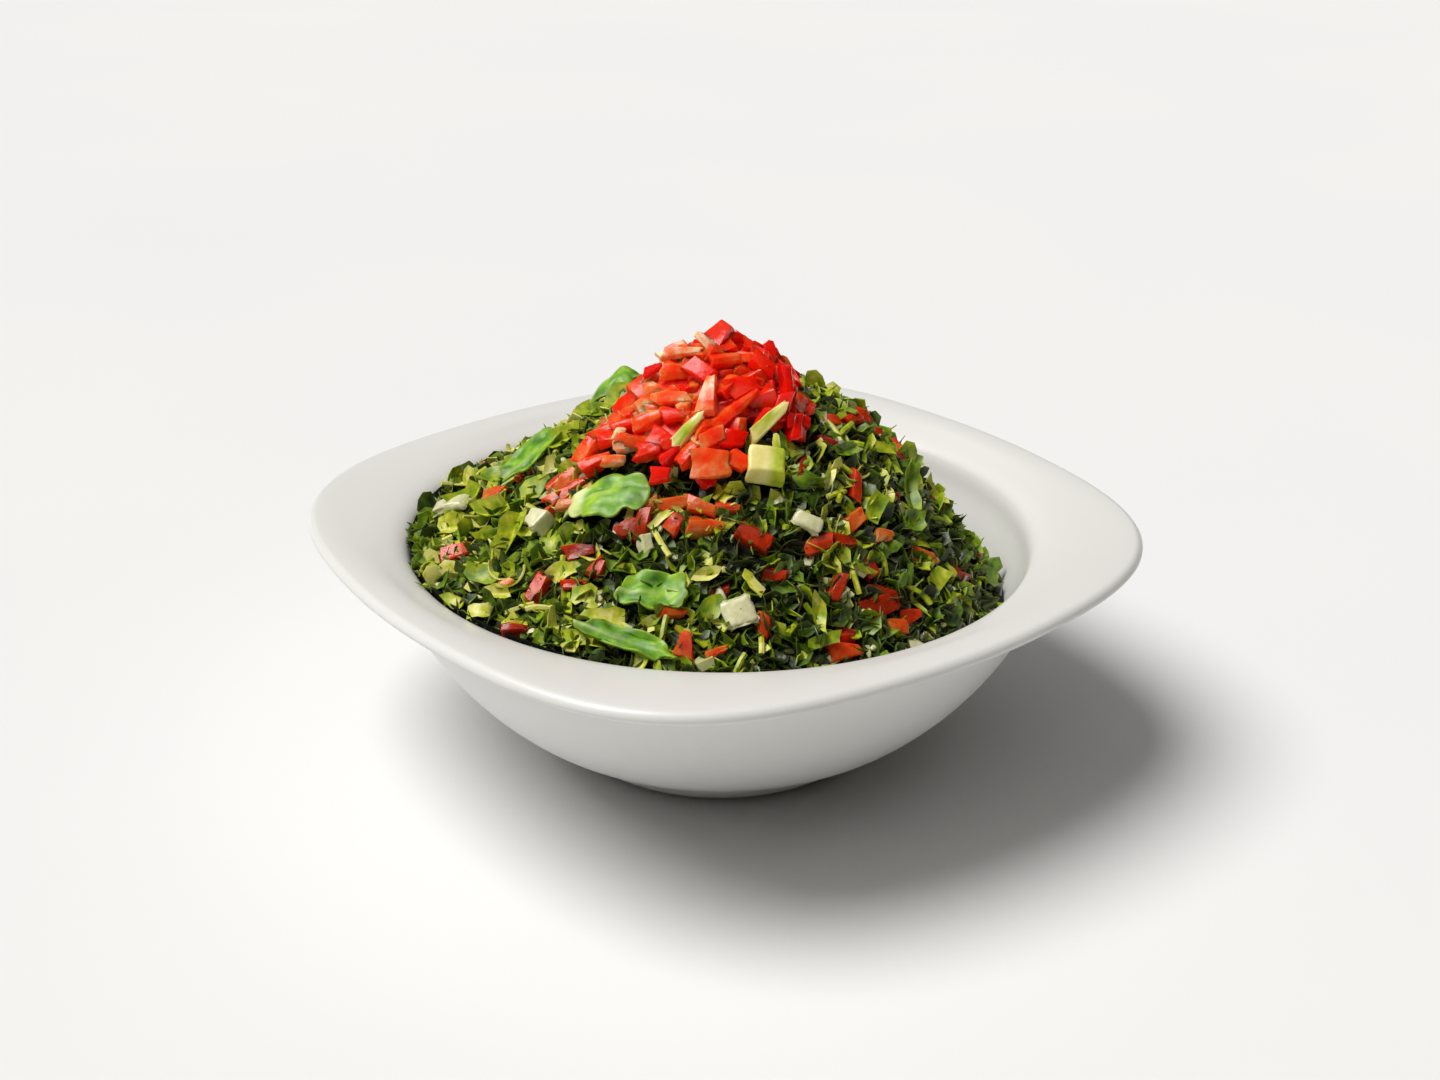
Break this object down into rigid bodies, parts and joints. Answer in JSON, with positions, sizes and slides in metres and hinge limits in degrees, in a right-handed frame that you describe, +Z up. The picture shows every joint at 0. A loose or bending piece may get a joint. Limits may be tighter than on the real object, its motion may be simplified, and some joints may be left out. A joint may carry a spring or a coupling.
{
  "type": "tabbouleh salad in a bowl",
  "caption": "Heaped chopped parsley salad with tomato and onion, topped with diced tomato, in a square white porcelain bowl with a wide flat lip and a round foot.",
  "frame": {"origin": "centre of the foot, on the surface that the bowl stands on", "axes": "+Z up, +X towards one corner of the lip and the steep side of the heap, -Y towards the viewer of the picture"},
  "size_m": [0.22, 0.22, 0.1177],
  "materials": {
    "porcelain": "glossy white glaze",
    "chopped_parsley": "moist chopped herb",
    "chopped_tomato": "wet cut tomato",
    "lettuce": "fresh leaf with a slight sheen",
    "onion": "moist and slightly translucent",
    "cucumber": "moist cut flesh"
  },
  "bodies": {
    "root": {"bowl": "porcelain", "salad_heap": "chopped_parsley", "tomato_pile": "chopped_tomato", "lettuce_leaf_top_left": "lettuce", "lettuce_leaf_left": "lettuce", "lettuce_leaf_ribbed": "lettuce", "lettuce_leaf_front": "lettuce", "lettuce_strip_front": "lettuce", "onion_slice_middle": "onion", "onion_slice_right": "onion", "onion_slice_back": "onion", "onion_slice_left": "onion", "onion_cube": "onion", "cucumber_chunk": "cucumber"}
  },
  "joints": []
}
